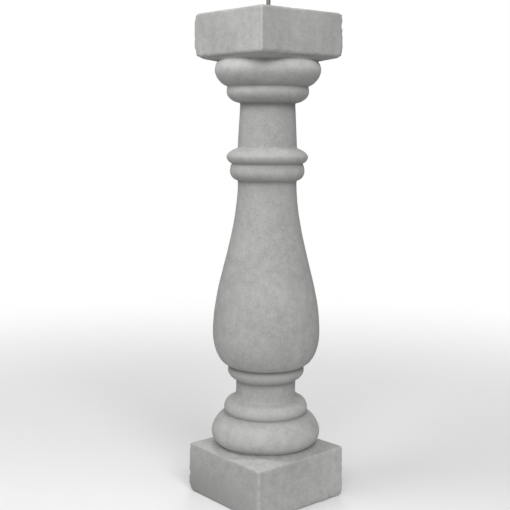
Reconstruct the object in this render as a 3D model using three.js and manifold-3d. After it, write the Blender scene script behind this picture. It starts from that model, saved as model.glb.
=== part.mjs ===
// A cast stone baluster for a balustrade: a square plinth, a turned shaft whose belly sits low
// down, and a square top block, all cast as one piece, with a steel bar standing out of the top.
//
// Millimetres, +Z up. The origin is the centre of the plinth's underside, and X and Y run square
// to the faces of the plinth. Heights are measured from the underside of the plinth, and radii
// from the axis of the shaft.

import * as THREE from 'three';
import { mergeVertices } from 'three/addons/utils/BufferGeometryUtils.js';
import Module from 'manifold-3d';

// The square blocks. Each narrows a little towards its top, which lets it leave the mould.
const PLINTH = { bottomSide: 164.8, topSide: 162.0, from: 0, to: 72.5, edge: 3 };
const TOP_BLOCK = { bottomSide: 152.4, topSide: 151.2, from: 639, to: 700, edge: 4 };

// The corners in plan are this much rounder than the edges.
const BLOCK_CORNER = 0.8;

// The turned mouldings, from the plinth up. A bead swells from where the outline stands out to
// its crown, and rolls back in to its top. The fullness of its under and over sides is the length
// of the curve's handles: 0.55 is a quarter circle, and less is flatter, down to a plain slope.
const SHAFT_FOOT = { radius: 66, height: 80.5 };
const LOWER_TORUS = {
  crown: { radius: 79.8, height: 97.5 }, top: { radius: 58.2, height: 125.5 },
  under: 0.55, over: 0.43,
};
const SMALL_TORUS = {
  crown: { radius: 61.3, height: 132.6 }, top: { radius: 52.0, height: 146.0 },
  under: 0.55, over: 0.55,
};
const LOWER_NECK = { radius: 43.5, from: 157.5, to: 176.0, cove: 0.55 };
const BELLY_RING = {
  crown: { radius: 55.9, height: 188.7 }, top: { radius: 52.7, height: 197.2 },
  under: 0.43, over: 0.45,
};
const BELLY = { radius: 77.9, height: 246.0, under: 0.55, shoulder: 0.33 };
const SLEEVE = { radius: 42.1, height: 466.6, flare: 0.38 };
const LOWER_ASTRAGAL = {
  crown: { radius: 53.5, height: 479.6 }, top: { radius: 50.3, height: 490.8 },
  under: 0.51, over: 0.45,
};
const UPPER_ASTRAGAL = {
  crown: { radius: 58.7, height: 500.6 }, top: { radius: 42.3, height: 512.3 },
  under: 0.45, over: 0.34,
};
const UPPER_NECK = { radius: 39.1, height: 576.0 };
const NECK_BEAD = {
  crown: { radius: 58.5, height: 590.9 }, top: { radius: 56.8, height: 599.6 },
  under: 0.48, over: 0.52,
};
const UPPER_TORUS = {
  crown: { radius: 75.2, height: 621.6 }, top: { radius: 69.2, height: 634.0 },
  under: 0.42, over: 0.50,
};

// Both blocks slope a little to meet the shaft. A slope starts just inside the rounded edge of a
// block's square face, and ends in a circle inside the shaft.
const SLOPE_INSET = 1;
const PLINTH_SLOPE = {
  squareSide: PLINTH.topSide - 2 * (PLINTH.edge + SLOPE_INSET), squareHeight: PLINTH.to,
  radius: 63, height: 80.6,
};
const SOFFIT_SLOPE = {
  squareSide: TOP_BLOCK.bottomSide - 2 * (TOP_BLOCK.edge + SLOPE_INSET), squareHeight: TOP_BLOCK.from,
  radius: 66, height: 633.9,
};

// The steel bar, its socket, and the hump of cement that crept up its foot.
const ROD = { radius: 3, set: 40, stands: 50 };
const SOCKET_CLEARANCE = 0.3;
const CEMENT_HUMP = { footRadius: 8, rimRadius: 4.2, height: 3 };

// How far a joined shape reaches inside its neighbour, so that the union has no shared faces.
const LAP = 6;

// How finely the curves are cut.
const SHAFT_SIDES = 48;
const ROD_SIDES = 16;
const CORNER_STEPS = 3;
const EDGE_STEPS = 2;
const BEAD_STEPS = 4;
const LONGEST_STEP = 15;
const MERGE_DISTANCE = 1e-4;

const wasm = await Module();
wasm.setup();

// A curve that leaves the outline's end level and arrives upright.
function levelToUpright(outline, radius, height, fullness) {
  const { x, y } = outline.currentPoint;
  const levelHandle = x + fullness * (radius - x);
  const uprightHandle = height - fullness * (height - y);
  outline.bezierCurveTo(levelHandle, y, radius, uprightHandle, radius, height);
}

// A curve that leaves the outline's end upright and arrives level.
function uprightToLevel(outline, radius, height, fullness) {
  const { x, y } = outline.currentPoint;
  const uprightHandle = y + fullness * (height - y);
  const levelHandle = radius - fullness * (radius - x);
  outline.bezierCurveTo(x, uprightHandle, levelHandle, height, radius, height);
}

function addBead(outline, { crown, top, under, over }) {
  levelToUpright(outline, crown.radius, crown.height, under);
  uprightToLevel(outline, top.radius, top.height, over);
}

// The belly swells out to its widest, then draws in along one long S to the upright sleeve.
function addBelly(outline) {
  levelToUpright(outline, BELLY.radius, BELLY.height, BELLY.under);
  const rise = SLEEVE.height - BELLY.height;
  outline.bezierCurveTo(
    BELLY.radius, BELLY.height + BELLY.shoulder * rise,
    SLEEVE.radius, SLEEVE.height - SLEEVE.flare * rise,
    SLEEVE.radius, SLEEVE.height,
  );
}

function shaftOutline() {
  const outline = new THREE.Path();
  outline.moveTo(0, PLINTH.to - LAP);
  outline.lineTo(SHAFT_FOOT.radius, PLINTH.to - LAP);
  outline.lineTo(SHAFT_FOOT.radius, SHAFT_FOOT.height);
  addBead(outline, LOWER_TORUS);
  addBead(outline, SMALL_TORUS);
  levelToUpright(outline, LOWER_NECK.radius, LOWER_NECK.from, LOWER_NECK.cove);
  outline.lineTo(LOWER_NECK.radius, LOWER_NECK.to);
  addBead(outline, BELLY_RING);
  addBelly(outline);
  addBead(outline, LOWER_ASTRAGAL);
  addBead(outline, UPPER_ASTRAGAL);
  outline.lineTo(UPPER_NECK.radius, UPPER_NECK.height);
  addBead(outline, NECK_BEAD);
  addBead(outline, UPPER_TORUS);
  outline.lineTo(UPPER_TORUS.top.radius, TOP_BLOCK.from + LAP);
  outline.lineTo(0, TOP_BLOCK.from + LAP);
  return outline;
}

function humpOutline() {
  const outline = new THREE.Path();
  outline.moveTo(0, TOP_BLOCK.to - LAP);
  outline.lineTo(CEMENT_HUMP.footRadius, TOP_BLOCK.to - LAP);
  outline.lineTo(CEMENT_HUMP.footRadius, TOP_BLOCK.to);
  outline.lineTo(CEMENT_HUMP.rimRadius, TOP_BLOCK.to + CEMENT_HUMP.height);
  outline.lineTo(0, TOP_BLOCK.to + CEMENT_HUMP.height);
  return outline;
}

// Straight stretches keep their two ends, and a curve is cut by its length.
function pointsAlong(outline) {
  const points = [outline.curves[0].getPoint(0)];
  for (const curve of outline.curves) {
    const stepsByLength = Math.round(curve.getLength() / LONGEST_STEP);
    const steps = curve.isLineCurve ? 1 : Math.max(BEAD_STEPS, stepsByLength);
    points.push(...curve.getPoints(steps).slice(1));
  }
  return points;
}

function turned(outline, sides) {
  const geometry = new THREE.LatheGeometry(pointsAlong(outline), sides);
  geometry.rotateX(Math.PI / 2);
  return geometry;
}

function squareShape(side) {
  const inner = side / 2 - BLOCK_CORNER;
  const shape = new THREE.Shape();
  shape.absarc(inner, inner, BLOCK_CORNER, 0, Math.PI / 2);
  shape.absarc(-inner, inner, BLOCK_CORNER, Math.PI / 2, Math.PI);
  shape.absarc(-inner, -inner, BLOCK_CORNER, Math.PI, 1.5 * Math.PI);
  shape.absarc(inner, -inner, BLOCK_CORNER, 1.5 * Math.PI, 2 * Math.PI);
  return shape;
}

// A square block with rounded edges all round, drawn in towards its top.
function taperedBlock({ bottomSide, topSide, from, to, edge }) {
  const height = to - from;
  const geometry = new THREE.ExtrudeGeometry(squareShape(bottomSide - 2 * edge), {
    depth: height - 2 * edge,
    steps: 1,
    curveSegments: CORNER_STEPS,
    bevelSegments: EDGE_STEPS,
    bevelThickness: edge,
    bevelSize: edge,
  });
  geometry.translate(0, 0, edge);
  const position = geometry.getAttribute('position');
  for (let i = 0; i < position.count; i++) {
    const rise = position.getZ(i) / height;
    const narrowing = THREE.MathUtils.lerp(1, topSide / bottomSide, rise);
    position.setXY(i, position.getX(i) * narrowing, position.getY(i) * narrowing);
  }
  geometry.translate(0, 0, from);
  return geometry;
}

// The slope between a block's square face and the shaft, with a lap that fills in to the block.
function slopeGeometry({ squareSide, squareHeight, radius, height }) {
  const half = squareSide / 2;
  const sunk = squareHeight + Math.sign(squareHeight - height) * LAP;
  const rows = [[0, sunk], [half, sunk], [half, squareHeight], [radius, height], [0, height]];
  if (height < squareHeight) rows.reverse();
  const points = rows.map(([reach, level]) => new THREE.Vector2(reach, level));
  const geometry = new THREE.LatheGeometry(points, SHAFT_SIDES);
  geometry.rotateX(Math.PI / 2);
  const position = geometry.getAttribute('position');
  for (let i = 0; i < position.count; i++) {
    const [x, y] = [position.getX(i), position.getY(i)];
    if (Math.hypot(x, y) <= radius + MERGE_DISTANCE) continue;
    const stretch = half / Math.max(Math.abs(x), Math.abs(y));
    position.setXY(i, x * stretch, y * stretch);
  }
  return geometry;
}

function rodGeometry(radius, from, to) {
  const geometry = new THREE.CylinderGeometry(radius, radius, to - from, ROD_SIDES);
  geometry.rotateX(Math.PI / 2);
  geometry.translate(0, 0, (from + to) / 2);
  return geometry;
}

// A closed triangle mesh as a solid. Triangles that shrank to nothing on the axis are dropped.
function toSolid(geometry) {
  const bare = geometry.clone();
  bare.deleteAttribute('normal');
  bare.deleteAttribute('uv');
  const merged = mergeVertices(bare, MERGE_DISTANCE);
  const corners = merged.getIndex().array;
  const triVerts = [];
  for (let i = 0; i < corners.length; i += 3) {
    const [a, b, c] = corners.slice(i, i + 3);
    if (a !== b && b !== c && c !== a) triVerts.push(a, b, c);
  }
  return new wasm.Manifold(new wasm.Mesh({
    numProp: 3,
    vertProperties: new Float32Array(merged.getAttribute('position').array),
    triVerts: new Uint32Array(triVerts),
  }));
}

function toGeometry(solid) {
  const { vertProperties, triVerts } = solid.getMesh();
  const geometry = new THREE.BufferGeometry();
  geometry.setAttribute('position', new THREE.BufferAttribute(vertProperties, 3));
  geometry.setIndex(new THREE.BufferAttribute(triVerts, 1));
  geometry.computeVertexNormals();
  return geometry;
}

const castStone = new THREE.MeshStandardMaterial({
  name: 'cast_stone', color: 0xb5b4b1, roughness: 0.95, metalness: 0,
});
const rawSteel = new THREE.MeshStandardMaterial({
  name: 'raw_steel', color: 0x6b6865, roughness: 0.6, metalness: 0.8,
});

function makeBaluster() {
  const socket = rodGeometry(
    ROD.radius + SOCKET_CLEARANCE,
    TOP_BLOCK.to - ROD.set - SOCKET_CLEARANCE,
    TOP_BLOCK.to + CEMENT_HUMP.height + LAP,
  );
  const solid = toSolid(taperedBlock(PLINTH))
    .add(toSolid(slopeGeometry(PLINTH_SLOPE)))
    .add(toSolid(turned(shaftOutline(), SHAFT_SIDES)))
    .add(toSolid(slopeGeometry(SOFFIT_SLOPE)))
    .add(toSolid(taperedBlock(TOP_BLOCK)))
    .add(toSolid(turned(humpOutline(), ROD_SIDES)))
    .subtract(toSolid(socket));
  const mesh = new THREE.Mesh(toGeometry(solid), castStone);
  mesh.name = 'baluster';
  return mesh;
}

function makeRod() {
  const mesh = new THREE.Mesh(rodGeometry(ROD.radius, -ROD.set, ROD.stands), rawSteel);
  mesh.name = 'reinforcing_rod';
  mesh.position.z = TOP_BLOCK.to;
  return mesh;
}

const group = new THREE.Group();
group.add(makeBaluster(), makeRod());

export default group;
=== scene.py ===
"""A cast stone baluster with its steel bar, dressed for a studio picture.

Metres, +Z up, in the same frame as the solids: the origin is the centre of the plinth's underside.
"""

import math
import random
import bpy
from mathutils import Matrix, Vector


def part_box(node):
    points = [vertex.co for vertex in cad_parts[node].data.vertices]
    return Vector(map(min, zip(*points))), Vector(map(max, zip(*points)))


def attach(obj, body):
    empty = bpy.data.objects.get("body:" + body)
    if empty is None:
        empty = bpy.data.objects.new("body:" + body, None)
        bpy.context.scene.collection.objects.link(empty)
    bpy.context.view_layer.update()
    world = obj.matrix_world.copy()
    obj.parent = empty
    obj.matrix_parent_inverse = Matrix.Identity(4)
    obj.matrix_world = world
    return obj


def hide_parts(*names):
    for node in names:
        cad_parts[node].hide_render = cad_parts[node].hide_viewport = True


bl_info = {
    "name": "Cast Stone Baluster",
    "version": (1, 0, 0),
    "blender": (4, 5, 0),
    "location": "3D Viewport > Sidebar > Baluster",
    "description": "Casts a weathered stone baluster with its steel bar and sets a studio round it",
    "category": "Add Mesh",
}

from functools import cached_property
from typing import NamedTuple

import bpy
import numpy as np
from mathutils import Quaternion, Vector, noise

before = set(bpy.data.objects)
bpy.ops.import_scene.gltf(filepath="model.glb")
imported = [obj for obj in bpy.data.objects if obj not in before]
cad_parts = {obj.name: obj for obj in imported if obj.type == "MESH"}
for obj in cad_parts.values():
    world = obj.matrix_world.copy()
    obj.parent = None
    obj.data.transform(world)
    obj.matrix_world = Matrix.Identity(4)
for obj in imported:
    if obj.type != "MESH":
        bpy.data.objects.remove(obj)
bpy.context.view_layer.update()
CASTING_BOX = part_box("baluster")
BAR_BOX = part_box("reinforcing_rod")

MM = 0.001


# The casting's shape, in millimetres. Heights start at the plinth's underside, and radii at the
# shaft's axis. A pair is (radius, height).


class Block(NamedTuple):
    """A square block, with half its width at either end and the size of its rounded edges."""

    bottom_half: float
    top_half: float
    low: float
    high: float
    low_edge: float
    high_edge: float


class Bead(NamedTuple):
    """A moulding that swells from where the outline stands out to its crown and rolls back in."""

    crown: tuple
    top: tuple
    under: float
    over: float


class Crease(NamedTuple):
    """A corner between two mouldings, with how much settled dirt and painted shade darken it and how far
    out.
    """

    at: tuple
    dirt_and_shade: float
    reach: float


class Chip(NamedTuple):
    """A broken place, as a dent with its middle, its reach and its depth."""

    at: tuple
    radius: float
    depth: float


class Fade(NamedTuple):
    """A share that grows along a face from a start to an end, from a least share to a most, for painted
    light and painted shade.
    """

    start: float
    end: float
    least: float
    most: float

    def along(self, places):
        return self.least + (self.most - self.least) * smooth_step(places, self.start, self.end)


class Wave(NamedTuple):
    """An unevenness, with how high and how long its waves are, and the seed of its draw."""

    height: float
    length: float
    seed: int


# The hump of cement at the bar's foot. Unevenness and wear grow from its rim to CALM_RADIUS.
HUMP_FOOT_RADIUS = 8.0
HUMP_RIM_RADIUS = 3.6
HUMP_HEIGHT = 3.0
CALM_RADIUS = 14.0

# The two square blocks.
TOP_FACE = CASTING_BOX[1].z / MM - HUMP_HEIGHT
PLINTH = Block(bottom_half=82.4, top_half=81.0, low=0.0, high=72.5, low_edge=3.0, high_edge=2.6)
TOP_BLOCK = Block(bottom_half=76.2, top_half=75.6, low=639.0, high=TOP_FACE, low_edge=4.6, high_edge=3.2)

# The turned shaft, from the plinth's top up, and how full its curves are.
FOOT = (66.0, 80.5)
LOWER_TORUS = Bead(crown=(79.8, 97.5), top=(58.2, 125.5), under=0.55, over=0.43)
SMALL_TORUS = Bead(crown=(61.3, 132.6), top=(52.0, 146.0), under=0.55, over=0.55)
LOWER_NECK_FOOT = (43.5, 157.5)
LOWER_NECK_TOP = (43.5, 176.0)
BELLY_RING = Bead(crown=(55.9, 188.7), top=(52.7, 197.2), under=0.43, over=0.45)
BELLY_CROWN = (77.9, 246.0)
BELLY_SHOULDER = 0.33
SLEEVE_TOP = (42.1, 466.6)
SLEEVE_FLARE = 0.38
LOWER_ASTRAGAL = Bead(crown=(53.5, 479.6), top=(50.3, 490.8), under=0.51, over=0.45)
UPPER_ASTRAGAL = Bead(crown=(58.7, 500.6), top=(42.3, 512.3), under=0.45, over=0.34)
UPPER_NECK_TOP = (39.1, 576.0)
NECK_BEAD = Bead(crown=(58.5, 590.9), top=(56.8, 599.6), under=0.48, over=0.52)
UPPER_TORUS = Bead(crown=(75.2, 621.6), top=(69.2, 634.0), under=0.42, over=0.50)
QUARTER_ROUND = 0.55

# Corners between mouldings, darkened with settled dirt and painted shade.
CREASES = (
    Crease(LOWER_TORUS.top, dirt_and_shade=0.9, reach=6.5),
    Crease(LOWER_NECK_TOP, dirt_and_shade=1.2, reach=6.5),
    Crease(BELLY_RING.top, dirt_and_shade=1.5, reach=8.5),
    Crease(SLEEVE_TOP, dirt_and_shade=1.0, reach=6.5),
    Crease(LOWER_ASTRAGAL.top, dirt_and_shade=1.0, reach=6.5),
    Crease(UPPER_NECK_TOP, dirt_and_shade=1.6, reach=9.0),
    Crease(NECK_BEAD.top, dirt_and_shade=0.9, reach=8.0),
)

# Painted shade of the same kind on the slope under the top block.
SHADE_UNDER_BLOCK = 0.75

# The mouldings whose crowns are painted pale, partly wear and partly a painted highlight, each with how
# much.
WORN_AND_LIT_CROWNS = (
    (LOWER_TORUS, 0.9),
    (SMALL_TORUS, 0.9),
    (BELLY_RING, 0.9),
    (LOWER_ASTRAGAL, 0.5),
    (UPPER_ASTRAGAL, 0.6),
    (NECK_BEAD, 1.3),
    (UPPER_TORUS, 1.9),
)

# Where a moulding's wear and painted highlight are palest, and how far they reach from there up and down,
# as shares of the rise from its crown to its top. The band reaches WORN_AND_LIT_DEPTH times as far in and
# out.
WORN_AND_LIT_MIDDLE = 0.35
WORN_AND_LIT_REACH = 0.75
WORN_AND_LIT_DEPTH = 1.4

# Painted light on the plinth's top, and how pale it is. It fades out between two values of X + Y, where
# the lower torus shades the far side, and shows between two upward shares of a face's direction, from not
# at all to fully.
PAINTED_LIGHT_LEDGE = 1.5
LEDGE_FADE = (10, 100)
LEDGE_TURNED_UP = (0.7, 0.95)

# The two faces with painted light: the plinth's +X one, along Y, and the top block's -Y one, along X.
PLINTH_PAINTED_LIGHT = Fade(start=-20, end=75, least=0.0, most=1.0)
BLOCK_PAINTED_LIGHT = Fade(start=-10, end=60, least=0.25, most=0.8)

# Painted shade low on the plinth: the heights where it starts to fade and is gone, its share on the faces
# other than the -Y one, and how it grows towards -X.
FOOT_SHADE_HEIGHTS = (2, 68)
FOOT_SHADE_ELSEWHERE = 0.1
FOOT_SHADE_GROWTH = Fade(start=-70, end=60, least=0.3, most=1.0)

# How uneven the cast faces are.
CASTING_WAVES = (
    Wave(height=0.34, length=62, seed=1),
    Wave(height=0.15, length=21, seed=2),
    Wave(height=0.08, length=6.5, seed=3),
)

# How far in from an edge it is worn, and how its wear varies along it.
EDGE_REACH = 2.6
LEAST_WEAR = 0.2
WORN_BITES = Wave(height=0.9, length=12, seed=4)
WORN_CRUMBS = Wave(height=0.3, length=4, seed=5)

# How worn an edge looks at least, and how much more for its roughness.
WORN_LOOK = 0.55
WORN_LOOK_GAIN = 0.9

# How breaks vary, as a share of their depth, and the depths between which they come to look worn.
BREAK_WAVE = Wave(height=0.5, length=2.6, seed=6)
BREAK_SHOWS = (0.1, 0.8)

# How far the plinth's top rises at its corner between +X and +Y.
HIGH_CORNER = 2.8

# Breaks and blunted corners of the two blocks, on the sides that the picture shows.
SEEN_CHIPS = (
    Chip(at=(75.6, 75.6, 683.0), radius=6.5, depth=2.6),
    Chip(at=(75.9, 74.8, 672.0), radius=5.0, depth=1.5),
    Chip(at=(76.4, 75.4, 646.0), radius=6.0, depth=1.6),
    Chip(at=(76.1, -20.0, 700.0), radius=5.0, depth=1.1),
    Chip(at=(76.1, -38.0, 700.0), radius=4.0, depth=1.0),
    Chip(at=(82.3, 80.0, 1.0), radius=8.0, depth=2.4),
    Chip(at=(82.4, 58.0, 0.0), radius=7.0, depth=1.8),
    Chip(at=(82.4, 30.0, 0.0), radius=6.0, depth=1.4),
    Chip(at=(-80.0, -82.3, 1.0), radius=9.0, depth=2.6),
    Chip(at=(81.6, -81.6, 44.0), radius=5.0, depth=1.2),
    Chip(at=(-75.5, -75.5, 640.0), radius=14.0, depth=2.8),
    Chip(at=(-75.0, -75.0, 699.0), radius=10.0, depth=1.4),
    Chip(at=(75.5, 75.5, 640.0), radius=10.0, depth=1.6),
    Chip(at=(75.0, 75.0, 699.0), radius=10.0, depth=1.6),
)

# Smaller chips: the share of them on upright edges, their reach, and their depth as a share of it.
UPRIGHT_CHIPS = 0.4
CHIP_REACH = (2.2, 5.5)
CHIP_DEPTH = (0.14, 0.3)

# How near its middle any chip is at its full depth, from 0 at its rim to 1.
CHIP_FLOOR = 0.75

# How finely the casting is cut: points round it, millimetres between its rows, and the least
# radius that a corner keeps.
POINTS_ROUND = 224
CORNER_POINTS = 6
EDGE_ROWS = 6
BEAD_STEP = 1.7
FACE_STEP = 2.9
LONG_STEP = 3.4
CREASE_STEP = 0.5
SHARPEST_CORNER = 0.3

# Points on a curve before it is cut into rows, and how far the mould's fillets reach.
DENSE = 400
FILLET_STEP = 0.1
FILLET_REACH = 1.5

# How faces are cut between their rings, as shares of the way in, and the socket by its depth.
UNDERSIDE_SHARES = (0.04, 0.25, 0.5, 0.75, 0.92)
PLINTH_TOP_SHARES = (0.05, 0.12, 0.2, 0.3, 0.42, 0.55, 0.68, 0.8, 0.9)
SOFFIT_SHARES = (0.1, 0.2, 0.35, 0.5, 0.7, 0.88)
BLOCK_TOP_SHARES = (0.05, 0.13, 0.23, 0.34, 0.45, 0.56, 0.67, 0.78, 0.88, 0.95, 1)
HUMP_SHARES = (0.25, 0.5, 0.75, 0.92, 1)
SOCKET_DEPTHS = (0.4, 3.0, 12.0, 26.0)


def bezier(a, b, c, d):
    """A dense run of points along one curve."""
    t = np.linspace(0, 1, DENSE)[:, None]
    a, b, c, d = (np.array(point, float) for point in (a, b, c, d))
    return (1 - t) ** 3 * a + 3 * (1 - t) ** 2 * t * b + 3 * (1 - t) * t**2 * c + t**3 * d


def level_to_upright(start, end, fullness):
    """A curve that leaves its start level and meets its end upright, squarer when fuller."""
    level_handle = (start[0] + fullness * (end[0] - start[0]), start[1])
    upright_handle = (end[0], end[1] - fullness * (end[1] - start[1]))
    return bezier(start, level_handle, upright_handle, end)


def upright_to_level(start, end, fullness):
    """A curve that leaves its start upright and meets its end level, squarer when fuller."""
    upright_handle = (start[0], start[1] + fullness * (end[1] - start[1]))
    level_handle = (end[0] - fullness * (end[0] - start[0]), end[1])
    return bezier(start, upright_handle, level_handle, end)


def straight(start, end):
    return np.linspace(start, end, DENSE)


def walk(curve, step):
    """Points about a step apart along a dense curve, closer at its ends, without its first."""
    lengths = np.r_[0, np.cumsum(np.hypot(*np.diff(curve, axis=0).T))]
    total = lengths[-1]
    stops = np.linspace(0, total, max(3, round(total / step)) + 1)
    stops = np.sort(np.r_[stops, CREASE_STEP, total - CREASE_STEP])[1:]
    return np.c_[np.interp(stops, lengths, curve[:, 0]), np.interp(stops, lengths, curve[:, 1])]


def bead_rows(start, bead):
    under = walk(level_to_upright(start, bead.crown, bead.under), BEAD_STEP)
    over = walk(upright_to_level(bead.crown, bead.top, bead.over), BEAD_STEP)
    return [under, over]


def shaft_rows():
    """(radius, height) of every row of the turned part, from the plinth's top to the block."""
    rise = SLEEVE_TOP[1] - BELLY_CROWN[1]
    shoulder = (BELLY_CROWN[0], BELLY_CROWN[1] + BELLY_SHOULDER * rise)
    flare = (SLEEVE_TOP[0], SLEEVE_TOP[1] - SLEEVE_FLARE * rise)
    runs = bead_rows(FOOT, LOWER_TORUS) + bead_rows(LOWER_TORUS.top, SMALL_TORUS)
    runs.append(walk(level_to_upright(SMALL_TORUS.top, LOWER_NECK_FOOT, QUARTER_ROUND), BEAD_STEP))
    runs.append(walk(straight(LOWER_NECK_FOOT, LOWER_NECK_TOP), LONG_STEP))
    runs += bead_rows(LOWER_NECK_TOP, BELLY_RING)
    runs.append(walk(level_to_upright(BELLY_RING.top, BELLY_CROWN, QUARTER_ROUND), FACE_STEP))
    runs.append(walk(bezier(BELLY_CROWN, shoulder, flare, SLEEVE_TOP), LONG_STEP))
    runs += bead_rows(SLEEVE_TOP, LOWER_ASTRAGAL)
    runs += bead_rows(LOWER_ASTRAGAL.top, UPPER_ASTRAGAL)
    runs.append(walk(straight(UPPER_ASTRAGAL.top, UPPER_NECK_TOP), LONG_STEP))
    runs += bead_rows(UPPER_NECK_TOP, NECK_BEAD)
    runs += bead_rows(NECK_BEAD.top, UPPER_TORUS)
    return softened(np.vstack(runs))


def softened(rows):
    """The rows with their creases filled and their sharp turns eased, as a mould's are."""
    lengths = np.r_[0, np.cumsum(np.hypot(*np.diff(rows, axis=0).T))]
    stops = np.arange(0, lengths[-1], FILLET_STEP)
    spread = np.arange(-4 * FILLET_REACH, 4 * FILLET_REACH + FILLET_STEP, FILLET_STEP)
    weights = np.exp(-((spread / FILLET_REACH) ** 2) / 2)
    weights /= weights.sum()
    margin = len(weights) // 2
    eased = []
    for side in rows.T:
        dense = np.interp(stops, lengths, side)
        padded = np.pad(dense, margin, mode="reflect", reflect_type="odd")
        smooth = np.convolve(padded, weights, mode="same")[margin:-margin]
        eased.append(np.interp(lengths, stops, smooth))
    return np.array(eased).T


def circle(radius, height, points=POINTS_ROUND):
    turn = np.arange(points) * 2 * math.pi / points
    return np.c_[np.cos(turn) * radius, np.sin(turn) * radius, np.full(points, height)]


def rounded_square(half, height, corners):
    """Points round a square, set closer in its corners.

    corners holds the four corner radii, against the clock from the corner between +X and +Y.
    """
    octants = np.arange(POINTS_ROUND) * 8 / POINTS_ROUND
    octant = octants.astype(int)
    outward = octant % 2 == 0
    along = np.where(outward, octants - octant, 1 - (octants - octant))
    radius = np.array(corners)[octant // 2]
    side_share = 1 - CORNER_POINTS * 8 / POINTS_ROUND
    swing = np.maximum(along - side_share, 0) / (1 - side_share) * math.pi / 4
    lateral = (half - radius) * np.minimum(along / side_share, 1) + radius * np.sin(swing)
    lateral = np.where(outward, lateral, -lateral)
    depth = half - radius + radius * np.cos(swing)
    facing = (octant + 1) // 2 * math.pi / 2
    x = depth * np.cos(facing) - lateral * np.sin(facing)
    y = depth * np.sin(facing) + lateral * np.cos(facing)
    return np.c_[x, y, np.full(POINTS_ROUND, height)]


def block_ring(block, height, inset, corners):
    """A block's outline at a height, drawn in evenly by an inset."""
    share = (height - block.low) / (block.high - block.low)
    half = block.bottom_half + (block.top_half - block.bottom_half) * share - inset
    return rounded_square(half, height, [max(c - inset, SHARPEST_CORNER) for c in corners])


def block_rings(block, corners):
    """A block's rings from its lower face, round the lower edge, up, and round the upper edge."""
    swings = np.linspace(0, math.pi / 2, EDGE_ROWS + 1)
    nearer, farther = 1 - np.sin(swings), 1 - np.cos(swings)
    bottom, top = block.low + block.low_edge, block.high - block.high_edge
    levels = np.linspace(bottom, top, round((top - bottom) / FACE_STEP) + 1)[1:-1]
    rings = [
        block_ring(block, block.low + block.low_edge * up, block.low_edge * back, corners)
        for up, back in zip(farther, nearer)
    ]
    rings += [block_ring(block, level, 0, corners) for level in levels]
    rings += [
        block_ring(block, block.high - block.high_edge * down, block.high_edge * back, corners)
        for down, back in zip(nearer, farther)
    ]
    return rings


def between(outer, inner, shares):
    """The rings that lie at some shares of the way from one ring to another."""
    return [outer + (inner - outer) * share for share in shares]


def casting_rings(plinth_corners, block_corners, socket_gap):
    """Every ring of the casting, from the middle of its underside to the floor of the socket."""
    plinth = block_rings(PLINTH, plinth_corners)
    block = block_rings(TOP_BLOCK, block_corners)
    shaft = [circle(radius, height) for radius, height in shaft_rows()]
    hump_foot = circle(HUMP_FOOT_RADIUS, TOP_BLOCK.high)
    socket = BAR_BOX[1].x / MM + socket_gap
    socket_floor = BAR_BOX[0].z / MM - socket_gap
    hump_top = TOP_BLOCK.high + HUMP_HEIGHT

    rings = [plinth[0] * (share, share, 1) for share in UNDERSIDE_SHARES]
    rings += plinth
    rings += between(plinth[-1], circle(*FOOT), PLINTH_TOP_SHARES)
    rings += shaft[2:-2]
    rings += between(shaft[-1], block[0], SOFFIT_SHARES)
    rings += block
    rings += between(block[-1], hump_foot, BLOCK_TOP_SHARES)
    for share in HUMP_SHARES:
        radius = HUMP_FOOT_RADIUS + (HUMP_RIM_RADIUS - HUMP_FOOT_RADIUS) * share
        rings.append(circle(radius, TOP_BLOCK.high + HUMP_HEIGHT * share**2))
    for depth in SOCKET_DEPTHS:
        rings.append(circle(socket, hump_top - depth))
    rings += [circle(socket, socket_floor), circle(socket / 2, socket_floor)]
    return np.array(rings)


def ripple(points, size, seed):
    """Smooth noise from -1 to 1 with features of about that size, at each point."""
    shifted = points.reshape(-1, 3) / size + seed * np.array((17.3, 5.7, 11.1))
    return np.array([noise.noise(Vector(p)) for p in shifted]).reshape(points.shape[:-1])


def waved(points, waves):
    """The sum of some waves at each point."""
    return sum(wave.height * ripple(points, wave.length, wave.seed) for wave in waves)


def smooth_step(values, low, high):
    """0 below low and 1 above high, smoothly between."""
    share = np.clip((values - low) / (high - low), 0, 1)
    return share * share * (3 - 2 * share)


def grid_normals(grid):
    """The direction straight out of the surface at each point."""
    around = np.roll(grid, -1, 1) - np.roll(grid, 1, 1)
    normals = np.cross(around, np.gradient(grid, axis=0))
    return normals / np.maximum(np.linalg.norm(normals, axis=-1, keepdims=True), 1e-9)


def edge_distance(grid):
    """How far each point of the two blocks lies from the nearest edge. The shaft is far away."""
    distance = np.full(grid.shape[:-1], 1e3)
    x, y, z = np.abs(grid[..., 0]), np.abs(grid[..., 1]), grid[..., 2]
    for block in (PLINTH, TOP_BLOCK):
        half = np.interp(z, (block.low, block.high), (block.bottom_half, block.top_half))
        depths = np.stack([half - x, half - y, np.minimum(z - block.low, block.high - z)])
        second = np.maximum(np.sort(depths, axis=0)[1], 0)
        inside = (z >= block.low) & (z <= block.high)
        distance = np.where(inside, np.minimum(distance, second), distance)
    return distance


def crease_dirt_and_shade(grid):
    """How much settled dirt and painted shade darken each point, from the creases near it."""
    radius, height = np.hypot(grid[..., 0], grid[..., 1]), grid[..., 2]
    dirt_and_shade = np.zeros(grid.shape[:-1])
    for crease in CREASES:
        off = np.hypot(radius - crease.at[0], height - crease.at[1])
        dirt_and_shade = np.maximum(dirt_and_shade, crease.dirt_and_shade * np.exp(-((off / crease.reach) ** 2)))
    return dirt_and_shade


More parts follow.
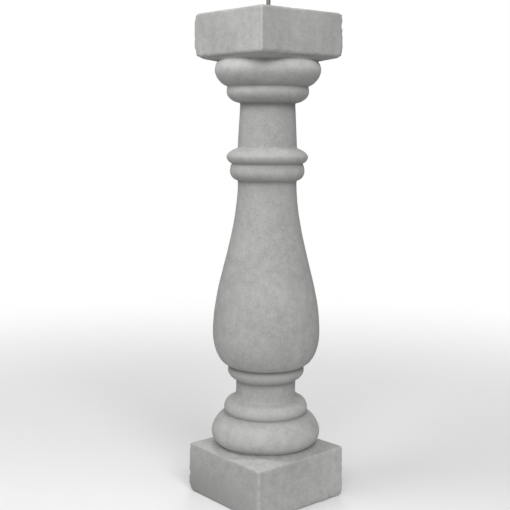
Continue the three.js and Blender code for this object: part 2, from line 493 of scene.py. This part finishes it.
def painted_shade_under_block(grid):
    """Painted shade on the slope under the top block."""
    radius, height = np.hypot(grid[..., 0], grid[..., 1]), grid[..., 2]
    under = (radius > UPPER_TORUS.top[0] + 1) & (height < TOP_BLOCK.low + 1)
    return SHADE_UNDER_BLOCK * (under & (height > UPPER_TORUS.top[1] - 0.5))


def painted_light_paleness(grid, normals):
    """How pale the painted light makes the two lit faces at each point."""
    x, y, height = grid[..., 0], grid[..., 1], grid[..., 2]
    plinth = (height < PLINTH.high) * np.clip(normals[..., 0], 0, 1) * PLINTH_PAINTED_LIGHT.along(y)
    block = (height > TOP_BLOCK.low) * np.clip(-normals[..., 1], 0, 1) * BLOCK_PAINTED_LIGHT.along(x)
    return np.maximum(plinth, block)


def wear_and_painted_light(grid, normals):
    """How pale each point is: wear and a painted highlight on and just above the crowns, and painted light
    on the plinth's top and on two faces.
    """
    radius, height = np.hypot(grid[..., 0], grid[..., 1]), grid[..., 2]
    paleness = np.zeros(grid.shape[:-1])
    for moulding, amount in WORN_AND_LIT_CROWNS:
        rise = moulding.top[1] - moulding.crown[1]
        above = height - moulding.crown[1] - WORN_AND_LIT_MIDDLE * rise
        off = np.hypot((radius - moulding.crown[0]) / WORN_AND_LIT_DEPTH, above)
        paleness = np.maximum(paleness, amount * np.exp(-((off / (WORN_AND_LIT_REACH * rise)) ** 2)))
    paleness = np.maximum(paleness, painted_light_paleness(grid, normals))
    # Painted light on the plinth's top, faded out where the lower torus shades it.
    low_enough = (height > PLINTH.high - 0.5) & (height < LOWER_TORUS.crown[1])
    ledge = low_enough & (radius > LOWER_TORUS.crown[0])
    ledge_lit_side = 1 - smooth_step(grid[..., 0] + grid[..., 1], *LEDGE_FADE)
    facing_up = smooth_step(normals[..., 2], *LEDGE_TURNED_UP)
    return np.where(ledge, PAINTED_LIGHT_LEDGE * ledge_lit_side * facing_up, paleness)


def painted_foot_shade_mask(grid, normals):
    """Painted shade low on the plinth, which is darkest on the -Y face and at its -X end."""
    low = 1 - smooth_step(grid[..., 2], *FOOT_SHADE_HEIGHTS)
    facing = FOOT_SHADE_ELSEWHERE + (1 - FOOT_SHADE_ELSEWHERE) * np.clip(-normals[..., 1], 0, 1)
    return low * facing * FOOT_SHADE_GROWTH.along(-grid[..., 0])


def scattered_chips(count, seed):
    """Small chips at random places along the edges of both blocks."""
    draw = random.Random(seed)
    chips = []
    for _ in range(count):
        block = draw.choice((PLINTH, TOP_BLOCK))
        upright = draw.random() < UPRIGHT_CHIPS
        height = draw.uniform(block.low, block.high) if upright else draw.choice((block.low, block.high))
        half = np.interp(height, (block.low, block.high), (block.bottom_half, block.top_half))
        first = draw.choice((-half, half))
        second = draw.choice((-half, half)) if upright else draw.uniform(-half, half)
        spot = (first, second) if draw.random() < 0.5 else (second, first)
        radius = draw.uniform(*CHIP_REACH)
        chips.append(Chip(at=(*spot, height), radius=radius, depth=radius * draw.uniform(*CHIP_DEPTH)))
    return chips


def chip_depths(grid, chips):
    """How deep the chips cut at each point."""
    depths = np.zeros(grid.shape[:-1])
    for chip in chips:
        nearness = 1 - np.sum((grid - np.array(chip.at)) ** 2, axis=-1) / chip.radius**2
        depths = np.maximum(depths, chip.depth * smooth_step(nearness, 0, CHIP_FLOOR))
    return depths


def corner_rise(grid):
    """How much higher each point of the plinth lies, towards its high corner."""
    toward_corner = (grid[..., 0] + grid[..., 1]) / (2 * PLINTH.top_half)
    high = np.clip(toward_corner, 0, 1) ** 2 * np.clip(grid[..., 2] / PLINTH.high, 0, 1)
    return HIGH_CORNER * high * (grid[..., 2] < FOOT[1] - 0.5)


def weather(grid, sizes):
    """The grid with its hand-made unevenness, worn edges and chips, and the masks of its finish, some of
    which paint light and shade.
    """
    normals = grid_normals(grid)
    from_axis = np.hypot(grid[..., 0], grid[..., 1])
    bar_clearance = smooth_step(from_axis, HUMP_RIM_RADIUS, CALM_RADIUS)
    nearness = np.exp(-((edge_distance(grid) / EDGE_REACH) ** 2))
    bites, crumbs = waved(grid, [WORN_BITES]), waved(grid, [WORN_CRUMBS])
    roughness = LEAST_WEAR + np.maximum(bites, 0) + np.abs(crumbs)
    chips = chip_depths(grid, [*SEEN_CHIPS, *scattered_chips(sizes.chips, sizes.seed)])
    chips = chips * (1 + waved(grid, [BREAK_WAVE]))
    loss = nearness * roughness * sizes.edge_wear / MM + chips
    offset = (waved(grid, CASTING_WAVES) * sizes.unevenness - loss) * bar_clearance
    worn = grid + normals * offset[..., None]
    worn[..., 2] = np.maximum(worn[..., 2] + corner_rise(grid), 0)
    worn_edge = nearness * (WORN_LOOK + WORN_LOOK_GAIN * roughness)
    wear = np.clip(worn_edge + smooth_step(chips, *BREAK_SHOWS), 0, 1)
    # The crevice mask holds settled dirt and painted shade, the next one wear and painted light, and foot
    # painted shade.
    masks = {
        "wear": wear * bar_clearance,
        "crevice": np.maximum(crease_dirt_and_shade(grid), painted_shade_under_block(grid)),
        "wear_and_painted_light": wear_and_painted_light(grid, normals),
        "foot": painted_foot_shade_mask(grid, normals),
    }
    return worn, masks


def closed_mesh(name, grid):
    """A closed mesh from rings of points, with a point in the middle of its first and last."""
    rows, round_count = grid.shape[:2]
    points = np.vstack([grid.reshape(-1, 3), grid[0].mean(0), grid[-1].mean(0)])
    here = np.arange(round_count)
    following = (here + 1) % round_count
    starts = (np.arange(rows - 1) * round_count)[:, None]
    quads = np.stack(
        [starts + here, starts + following, starts + round_count + following, starts + round_count + here],
        axis=-1,
    ).reshape(-1, 4)
    last = (rows - 1) * round_count
    first_middle, last_middle = rows * round_count, rows * round_count + 1
    faces = quads.tolist()
    faces += [(int(b), int(a), first_middle) for a, b in zip(here, following)]
    faces += [(int(last + a), int(last + b), last_middle) for a, b in zip(here, following)]
    mesh = bpy.data.meshes.new(name)
    mesh.from_pydata((points * MM).tolist(), [], faces)
    mesh.polygons.foreach_set("use_smooth", np.ones(len(mesh.polygons), bool))
    mesh.update()
    return mesh


def paint_mask(mesh, name, values):
    """A number for each point of the mesh, which its material reads by name."""
    layer = mesh.attributes.new(name, "FLOAT", "POINT")
    middles = (values[0].mean(), values[-1].mean())
    layer.data.foreach_set("value", np.r_[values.ravel(), middles].astype(np.float32))


def show(name, mesh, material, body, slot, *nodes):
    """Puts a piece in the scene, in place of the solids that it dresses."""
    piece = bpy.data.objects.new(name, mesh)
    bpy.context.scene.collection.objects.link(piece)
    mesh.materials.append(material)
    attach(piece, body)
    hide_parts(*nodes)


# Finishes


class Value:
    """A node's output that takes part in arithmetic: an expression adds its Math nodes."""

    def __init__(self, finish, socket):
        self.finish = finish
        self.socket = socket

    def math(self, operation, first, second):
        return self.finish.add("ShaderNodeMath", {"operation": operation}, {0: first, 1: second})

    def __add__(self, other):
        return self.math("ADD", self, other)

    def __radd__(self, other):
        return self.math("ADD", other, self)

    def __sub__(self, other):
        return self.math("SUBTRACT", self, other)

    def __rsub__(self, other):
        return self.math("SUBTRACT", other, self)

    def __mul__(self, other):
        return self.math("MULTIPLY", self, other)

    def __rmul__(self, other):
        return self.math("MULTIPLY", other, self)


class Finish:
    """The nodes of one material, or of the room. Every node comes from add."""

    def __init__(self, owner):
        self.owner = owner
        owner.use_nodes = True
        self.tree = owner.node_tree
        self.tree.nodes.clear()

    @cached_property
    def place(self):
        return self.add("ShaderNodeTexCoord", output="Object")

    def add(self, kind, settings=None, inputs=None, output=0):
        """A node of a type, with its settings, and values or links on its sockets."""
        node = self.tree.nodes.new(kind)
        for key, value in (settings or {}).items():
            setattr(node, key, value)
        for key, value in (inputs or {}).items():
            if isinstance(value, Value):
                self.tree.links.new(value.socket, node.inputs[key])
            else:
                node.inputs[key].default_value = value
        return Value(self, node.outputs[output]) if node.outputs else None

    def stretched(self, stretch):
        """The place on the surface, with each axis scaled."""
        inputs = {0: self.place, 1: stretch}
        return self.add("ShaderNodeVectorMath", {"operation": "MULTIPLY"}, inputs)

    def clouds(self, size, detail=3.0, roughness=0.55, stretch=(1, 1, 1)):
        """Noise about 0, from -0.5 to 0.5, with features of about that size in metres."""
        inputs = {
            "Vector": self.stretched(stretch),
            "Scale": 1 / size,
            "Detail": detail,
            "Roughness": roughness,
        }
        return self.add("ShaderNodeTexNoise", None, inputs) - 0.5

    def spots(self, size, low, high):
        """1 in the middle of scattered round spots, and 0 between them."""
        inputs = {"Vector": self.place, "Scale": 1 / size}
        distance = self.add("ShaderNodeTexVoronoi", {"feature": "F1"}, inputs, output="Distance")
        return 1 - self.mask(distance, low, high)

    def mask(self, value, low, high):
        """0 below low and 1 above high, smoothly between."""
        inputs = {"Value": value, "From Min": low, "From Max": high}
        return self.add("ShaderNodeMapRange", {"interpolation_type": "SMOOTHSTEP"}, inputs)

    def painted(self, name):
        return self.add("ShaderNodeAttribute", {"attribute_name": name}, output="Fac")

    def mix(self, factor, first, second):
        """One colour over another, by a factor from 0 to 1."""
        inputs = {"Factor": factor, 6: first, 7: second}
        return self.add("ShaderNodeMix", {"data_type": "RGBA"}, inputs, output=2)

    def bump(self, height, strength, distance):
        inputs = {"Height": height, "Strength": strength, "Distance": distance}
        return self.add("ShaderNodeBump", None, inputs)

    def surface(self, **inputs):
        """The finished material, from values of its shader's sockets, with _ for each space."""
        named = {key.replace("_", " "): value for key, value in inputs.items()}
        shader = self.add("ShaderNodeBsdfPrincipled", None, named)
        self.add("ShaderNodeOutputMaterial", None, {"Surface": shader})
        return self.owner


def opaque(colour):
    return (*colour, 1.0)


def cast_stone_finish(look):
    """Matte grey cement with a sandy skin, cloudy tone, small pores and paler worn places, with painted
    light and painted shade laid into its colour.
    """
    stone = Finish(bpy.data.materials.new("cast_stone"))
    wear = stone.painted("wear")
    cloud = stone.clouds(size=0.055, detail=3)
    mottle = stone.clouds(size=0.012, detail=4, roughness=0.6)
    runs = stone.clouds(size=0.009, detail=2, stretch=(1, 1, 0.09))
    sand = stone.clouds(size=0.0026, detail=3, roughness=0.7)
    grain = stone.clouds(size=0.0010, detail=1)
    pore_patches = stone.mask(stone.clouds(size=0.012, detail=1), low=0.02, high=0.14)
    pores = stone.spots(size=0.0062, low=0.06, high=0.15) * pore_patches

    tone = 0.5 + look.mottling * (0.6 * cloud + 0.8 * mottle + 0.12 * runs + 0.9 * sand + 0.6 * grain)
    colour = stone.mix(tone, opaque(look.dark), opaque(look.light))
    worn = stone.mask(wear + 0.6 * mottle + 0.4 * sand, low=0.35, high=1.0) * look.edge_paleness
    # Wear and a painted highlight on the crowns, and painted light on the plinth's top and two faces, in
    # the worn colour.
    painted_light_paleness = stone.painted("wear_and_painted_light") * (1 + 1.2 * mottle + 0.8 * sand) * look.crown_paleness
    colour = stone.mix(worn + painted_light_paleness, colour, opaque(look.worn))
    # Painted shade low on the plinth, darkest towards -X on the -Y face.
    painted_foot_shade = stone.painted("foot") * (0.8 + cloud + mottle) * look.painted_foot_shade
    # Settled dirt and painted shade in the creases, and painted shade under the top block, in the dark
    # colour.
    dirt_and_shade = stone.painted("crevice") * (0.9 + mottle) * look.dirt_and_shade
    colour = stone.mix(dirt_and_shade + painted_foot_shade, colour, opaque(look.dark))
    colour = stone.mix(0.6 * pores, colour, opaque(look.dark))

    height = 0.62 * sand + 0.25 * grain + 0.25 * mottle - 0.8 * pores
    return stone.surface(
        Base_Color=colour,
        Roughness=stone.mask(sand, low=-1.5, high=1.5) * 0.12 + 0.88,
        Specular_IOR_Level=0.3,
        Normal=stone.bump(height, look.grain_strength, look.grain_depth),
    )


def bar_finish(look):
    """Dull mill-finish steel, with rust and smears of cement near its foot."""
    steel = Finish(bpy.data.materials.new("raw_steel"))
    cement = steel.painted("cement")
    patches = steel.clouds(size=0.006, detail=4, roughness=0.65)
    fine = steel.clouds(size=0.0012, detail=3)
    rusty = steel.mask(patches + 0.4 * fine, low=-0.02, high=0.16)
    smeared = steel.mask(cement + patches, low=0.45, high=0.7)
    colour = steel.mix(rusty, opaque(look.steel), opaque(look.rust))
    colour = steel.mix(smeared, colour, opaque(look.cement))
    return steel.surface(
        Base_Color=colour,
        Metallic=0.75 * (1 - rusty) * (1 - smeared),
        Roughness=0.5 + 0.35 * rusty + 0.1 * fine,
        Normal=steel.bump(patches + 0.6 * fine, strength=0.5, distance=0.0003),
    )


# What a user would change


class CastingSizes(bpy.types.PropertyGroup):
    """Sizes of the casting's corners and wear."""

    plinth_corners: bpy.props.FloatVectorProperty(
        name="Plinth corners",
        description="Corner radii of the plinth, against the clock from the corner between +X and +Y",
        size=4,
        default=(0.0020, 0.0038, 0.0036, 0.0032),
        min=0.0005,
        max=0.02,
        unit="LENGTH",
    )
    block_corners: bpy.props.FloatVectorProperty(
        name="Top block corners",
        description="Corner radii of the top block, against the clock from the corner between +X and +Y",
        size=4,
        default=(0.0066, 0.0058, 0.0070, 0.0020),
        min=0.0005,
        max=0.02,
        unit="LENGTH",
    )
    socket_gap: bpy.props.FloatProperty(
        name="Socket gap",
        description="How much wider the socket is than the bar, all round",
        default=0.0001,
        min=0.0,
        max=0.002,
        unit="LENGTH",
    )
    edge_wear: bpy.props.FloatProperty(
        name="Edge wear",
        description="How much is worn off the edges of the two blocks where they are worn most",
        default=0.0006,
        min=0.0,
        max=0.004,
        unit="LENGTH",
    )
    unevenness: bpy.props.FloatProperty(
        name="Unevenness",
        description="How uneven the cast faces are, as a share of a usual casting's",
        default=1.0,
        min=0.0,
        max=3.0,
        subtype="FACTOR",
    )
    chips: bpy.props.IntProperty(
        name="Small chips",
        description="How many small chips are scattered along the edges",
        default=44,
        min=0,
        max=300,
    )
    seed: bpy.props.IntProperty(
        name="Seed",
        description="Which scatter of chips",
        default=11,
        min=0,
    )


class StoneLook(bpy.types.PropertyGroup):
    """Colours and texture of the cast stone."""

    # The dark colour also paints the shade in the creases, under the top block and low on the plinth.
    dark: bpy.props.FloatVectorProperty(
        name="Dark", description="Cement in pores and creases", subtype="COLOR",
        default=(0.205, 0.204, 0.200), min=0, max=1,
    )
    light: bpy.props.FloatVectorProperty(
        name="Light", description="Clean, dry cement", subtype="COLOR",
        default=(0.475, 0.474, 0.468), min=0, max=1,
    )
    # The worn colour also paints light on the crowns, the plinth's top and two faces.
    worn: bpy.props.FloatVectorProperty(
        name="Worn", description="Sand laid bare on the edges", subtype="COLOR",
        default=(0.56, 0.558, 0.55), min=0, max=1,
    )
    mottling: bpy.props.FloatProperty(
        name="Mottling", description="How much the tone varies over the surface",
        default=0.7, min=0, max=2, subtype="FACTOR",
    )
    edge_paleness: bpy.props.FloatProperty(
        name="Edge paleness", description="How much paler the worn edges are",
        default=0.15, min=0, max=1, subtype="FACTOR",
    )
    # Scales the wear and painted highlights on the crowns, and the painted light on the plinth's top and
    # two faces.
    crown_paleness: bpy.props.FloatProperty(
        name="Crown paleness", description="How much paler the mouldings' crowns and the plinth's top are",
        default=0.27, min=0, max=1, subtype="FACTOR",
    )
    # Scales the settled dirt and painted shade in the creases, and the painted shade under the top block.
    dirt_and_shade: bpy.props.FloatProperty(
        name="Dirt_And_Shade", description="How much dirt has settled in the creases",
        default=0.45, min=0, max=1, subtype="FACTOR",
    )
    # Scales the painted shade low on the plinth.
    painted_foot_shade: bpy.props.FloatProperty(
        name="Low_Painted_Shade", description="How dark the plinth is near the ground",
        default=0.8, min=0, max=1, subtype="FACTOR",
    )
    grain_strength: bpy.props.FloatProperty(
        name="Grain strength", description="How strongly the sand grain shows in the light",
        default=0.5, min=0, max=1, subtype="FACTOR",
    )
    grain_depth: bpy.props.FloatProperty(
        name="Grain depth", description="Depth of the sand grain",
        default=0.0006, min=0, max=0.005, unit="LENGTH",
    )


class BarLook(bpy.types.PropertyGroup):
    """Colours of the steel bar."""

    steel: bpy.props.FloatVectorProperty(
        name="Steel", description="Bare steel", subtype="COLOR",
        default=(0.20, 0.20, 0.20), min=0, max=1,
    )
    rust: bpy.props.FloatVectorProperty(
        name="Rust", description="Light rust on the steel", subtype="COLOR",
        default=(0.14, 0.115, 0.10), min=0, max=1,
    )
    cement: bpy.props.FloatVectorProperty(
        name="Cement", description="Cement smeared on the steel", subtype="COLOR",
        default=(0.33, 0.33, 0.32), min=0, max=1,
    )


class StudioSetup(bpy.types.PropertyGroup):
    """Camera and lights of the studio."""

    bearing: bpy.props.FloatProperty(
        name="Bearing", description="Where the camera stands round the baluster, from -Y towards +X",
        default=math.radians(49.32), subtype="ANGLE",
    )
    distance: bpy.props.FloatProperty(
        name="Distance", description="Level distance from the camera to the shaft's axis",
        default=1.36033, min=0.3, unit="LENGTH",
    )
    eye_height: bpy.props.FloatProperty(
        name="Eye height", description="Height of the camera above the floor",
        default=0.54055, min=0, unit="LENGTH",
    )
    pitch: bpy.props.FloatProperty(
        name="Pitch", description="How far the camera looks down",
        default=0.1332, subtype="ANGLE",
    )
    swing: bpy.props.FloatProperty(
        name="Swing", description="How far the camera looks to the left of the axis",
        default=0.012393, subtype="ANGLE",
    )
    roll: bpy.props.FloatProperty(
        name="Roll", description="How far the camera leans to the left",
        default=0.0054, subtype="ANGLE",
    )
    lens: bpy.props.FloatProperty(
        name="Lens", description="Focal length on a 36 mm frame", default=66.77, min=10, unit="CAMERA",
    )
    daylight: bpy.props.FloatProperty(
        name="Daylight", description="Light that the white room gives", default=0.28, min=0, max=10,
    )


def make_casting(sizes, look):
    corners = [[corner / MM for corner in c] for c in (sizes.plinth_corners, sizes.block_corners)]
    rings = casting_rings(*corners, sizes.socket_gap / MM)
    grid, masks = weather(rings, sizes)
    mesh = closed_mesh("cast_stone_baluster", grid)
    for name, values in masks.items():
        paint_mask(mesh, name, values)
    finish = cast_stone_finish(look)
    show("cast_stone_baluster", mesh, finish, "root", "cast_stone", "baluster")


# The bar, in millimetres. Each end is rings of (share of its radius, distance from the end).
BAR_POINTS = 24
BAR_STEP = 1.5
BAR_BURR = 0.7
BURIED_END = ((0.5, 0.0), (0.95, 0.0))
SHEARED_END = ((0.86, 0.2), (0.45, 0.0))

# How far the bar is out of round, as shares of its radius, and how much it is slimmed, so that its
# widest places stay about as wide as the solid's.
BAR_WAVES = (Wave(height=0.018, length=5, seed=8), Wave(height=0.01, length=1.6, seed=9))
BAR_SLIMMED = 0.985

# The heights above the top face between which the cement smears fade out.
CEMENT_FADE = (2, 9)


def bar_grid():
    """Rings of the bar from its buried end to its sheared top, slightly out of round."""
    radius = BAR_BOX[1].x / MM
    low, high = BAR_BOX[0].z / MM, BAR_BOX[1].z / MM
    levels = np.linspace(low, high - BAR_BURR, round((high - low) / BAR_STEP))
    rings = [circle(radius * share, low + off, BAR_POINTS) for share, off in BURIED_END]
    rings += [circle(radius, level, BAR_POINTS) for level in levels[1:]]
    rings += [circle(radius * share, high - off, BAR_POINTS) for share, off in SHEARED_END]
    grid = np.array(rings)
    squeeze = 1 + waved(grid, BAR_WAVES)
    grid[..., :2] *= squeeze[..., None] * BAR_SLIMMED
    return grid


def make_bar(look):
    grid = bar_grid()
    mesh = closed_mesh("steel_bar", grid)
    above = grid[..., 2] - TOP_FACE
    paint_mask(mesh, "cement", 1 - smooth_step(above, *CEMENT_FADE))
    show("steel_bar", mesh, bar_finish(look), "root", "raw_steel", "reinforcing_rod")


# The studio, in metres.


class Softbox(NamedTuple):
    name: str
    at: tuple
    width: float
    power: float


SOFTBOXES = (
    Softbox("key", at=(2.986, -1.010, 2.813), width=1.8, power=62.0),
    Softbox("key_left", at=(1.911, -2.507, 2.813), width=1.8, power=43.0),
    Softbox("near_left", at=(-0.210, -0.749, 1.128), width=0.7, power=5.5),
    Softbox("high_right", at=(0.464, 0.035, 1.347), width=0.5, power=1.8),
    Softbox("front_fill", at=(1.889, -1.623, 0.568), width=0.8, power=4.0),
    Softbox("back", at=(-0.496, 3.024, 2.921), width=1.4, power=6.0),
    Softbox("rear_fill", at=(-2.27, 1.96, 1.3), width=1.4, power=22.0),
)

# Where all the lamps point, and the width of the lens's frame in millimetres.
AIM = (0.0, 0.0, 0.35)
SENSOR_WIDTH = 36

# The floor, with its two tones and the distances between which it fades into the room.
FLOOR_RADIUS = 6.0
FLOOR_RINGS = 40
FLOOR_POINTS = 96
FLOOR_TONES = ((0.78, 0.78, 0.78), (0.81, 0.81, 0.81))
FLOOR_FADE = (0.35, 1.7)


def floor_finish():
    """Pale paint that fades into the white room far from the baluster."""
    paint = Finish(bpy.data.materials.new("floor_paint"))
    flat = paint.stretched((1, 1, 0))
    far = paint.add("ShaderNodeVectorMath", {"operation": "LENGTH"}, {0: flat}, output="Value")
    cloud = paint.clouds(size=0.4)
    colour = paint.mix(0.5 + cloud, *map(opaque, FLOOR_TONES))
    alpha = 1 - paint.mask(far, *FLOOR_FADE)
    return paint.surface(Base_Color=colour, Roughness=0.8, Alpha=alpha)


def make_floor():
    radii = np.linspace(FLOOR_RADIUS / FLOOR_RINGS, FLOOR_RADIUS, FLOOR_RINGS)
    points = np.vstack([circle(radius, 0, FLOOR_POINTS) for radius in radii[::-1]] + [[(0, 0, 0)]])
    faces = []
    for ring in range(FLOOR_RINGS - 1):
        for i in range(FLOOR_POINTS):
            j = (i + 1) % FLOOR_POINTS
            outer, inner = ring * FLOOR_POINTS, (ring + 1) * FLOOR_POINTS
            faces.append((outer + i, outer + j, inner + j, inner + i))
    middle = FLOOR_RINGS * FLOOR_POINTS
    innermost = middle - FLOOR_POINTS
    for i in range(FLOOR_POINTS):
        faces.append((innermost + i, innermost + (i + 1) % FLOOR_POINTS, middle))
    mesh = bpy.data.meshes.new("studio_floor")
    mesh.from_pydata(points.tolist(), [], faces)
    mesh.materials.append(floor_finish())
    floor = bpy.data.objects.new("studio_floor", mesh)
    bpy.context.scene.collection.objects.link(floor)


def make_softbox(box):
    light = bpy.data.lights.new(box.name, "AREA")
    light.shape = "DISK"
    light.size = box.width
    light.energy = box.power
    lamp = bpy.data.objects.new(box.name, light)
    lamp.location = box.at
    lamp.visible_camera = False
    lamp.rotation_mode = "QUATERNION"
    lamp.rotation_quaternion = (Vector(AIM) - Vector(box.at)).to_track_quat("-Z", "Y")
    bpy.context.scene.collection.objects.link(lamp)


def make_room(daylight):
    """A room that looks white and gives a soft, weaker light of its own."""
    room = Finish(bpy.data.worlds.new("white_room"))
    seen = room.add("ShaderNodeLightPath", output="Is Camera Ray")
    white = room.add("ShaderNodeBackground", None, {"Color": (1, 1, 1, 1)})
    soft = room.add("ShaderNodeBackground", None, {"Color": (1, 1, 1, 1), "Strength": daylight})
    either = room.add("ShaderNodeMixShader", None, {0: seen, 1: soft, 2: white})
    room.add("ShaderNodeOutputWorld", None, {"Surface": either})
    bpy.context.scene.world = room.owner
    bpy.context.scene.view_settings.view_transform = "Standard"


def make_camera(setup):
    camera_data = bpy.data.cameras.new("camera")
    camera_data.sensor_width = SENSOR_WIDTH
    camera_data.lens = setup.lens
    camera = bpy.data.objects.new("camera", camera_data)
    bearing = setup.bearing
    camera.location = (
        setup.distance * math.sin(bearing),
        -setup.distance * math.cos(bearing),
        setup.eye_height,
    )
    heading = bearing + setup.swing
    level = math.cos(setup.pitch)
    sight = Vector((-math.sin(heading) * level, math.cos(heading) * level, -math.sin(setup.pitch)))
    camera.rotation_mode = "QUATERNION"
    upright = sight.to_track_quat("-Z", "Y")
    camera.rotation_quaternion = upright @ Quaternion((0, 0, 1), setup.roll)
    bpy.context.scene.collection.objects.link(camera)
    bpy.context.scene.camera = camera


class BALUSTER_OT_cast_stone(bpy.types.Operator):
    """Cast the baluster: plinth, mouldings, belly and top block in one piece"""

    bl_idname = "baluster.cast_stone"
    bl_label = "Cast the Baluster"

    def execute(self, context):
        make_casting(context.scene.baluster_sizes, context.scene.baluster_stone)
        return {"FINISHED"}


class BALUSTER_OT_set_bar(bpy.types.Operator):
    """Set the steel bar in its socket on top of the baluster"""

    bl_idname = "baluster.set_bar"
    bl_label = "Set the Steel Bar"

    def execute(self, context):
        make_bar(context.scene.baluster_bar)
        return {"FINISHED"}


class BALUSTER_OT_set_stage(bpy.types.Operator):
    """Lay the pale floor and set the camera, the lights and the white room"""

    bl_idname = "baluster.set_stage"
    bl_label = "Set the Studio"

    def execute(self, context):
        setup = context.scene.baluster_studio
        make_floor()
        for box in SOFTBOXES:
            make_softbox(box)
        make_room(setup.daylight)
        make_camera(setup)
        return {"FINISHED"}


OPERATORS = (BALUSTER_OT_cast_stone, BALUSTER_OT_set_bar, BALUSTER_OT_set_stage)


class BALUSTER_PT_panel(bpy.types.Panel):
    """The baluster's sizes, looks and operators"""

    bl_label = "Cast Stone Baluster"
    bl_idname = "BALUSTER_PT_panel"
    bl_space_type = "VIEW_3D"
    bl_region_type = "UI"
    bl_category = "Baluster"

    def draw(self, context):
        scene = context.scene
        groups = (scene.baluster_sizes, scene.baluster_stone, scene.baluster_bar, scene.baluster_studio)
        for group in groups:
            box = self.layout.box()
            for name in group.__annotations__:
                box.prop(group, name)
        for operator in OPERATORS:
            self.layout.operator(operator.bl_idname)


SETTINGS = {
    "baluster_sizes": CastingSizes,
    "baluster_stone": StoneLook,
    "baluster_bar": BarLook,
    "baluster_studio": StudioSetup,
}
CLASSES = (*SETTINGS.values(), *OPERATORS, BALUSTER_PT_panel)


def register():
    for cls in CLASSES:
        bpy.utils.register_class(cls)
    for name, cls in SETTINGS.items():
        setattr(bpy.types.Scene, name, bpy.props.PointerProperty(type=cls))


def unregister():
    for name in SETTINGS:
        delattr(bpy.types.Scene, name)
    for cls in reversed(CLASSES):
        bpy.utils.unregister_class(cls)


def main():
    register()
    bpy.ops.baluster.cast_stone()
    bpy.ops.baluster.set_bar()
    bpy.ops.baluster.set_stage()


if __name__ == "__main__":
    main()
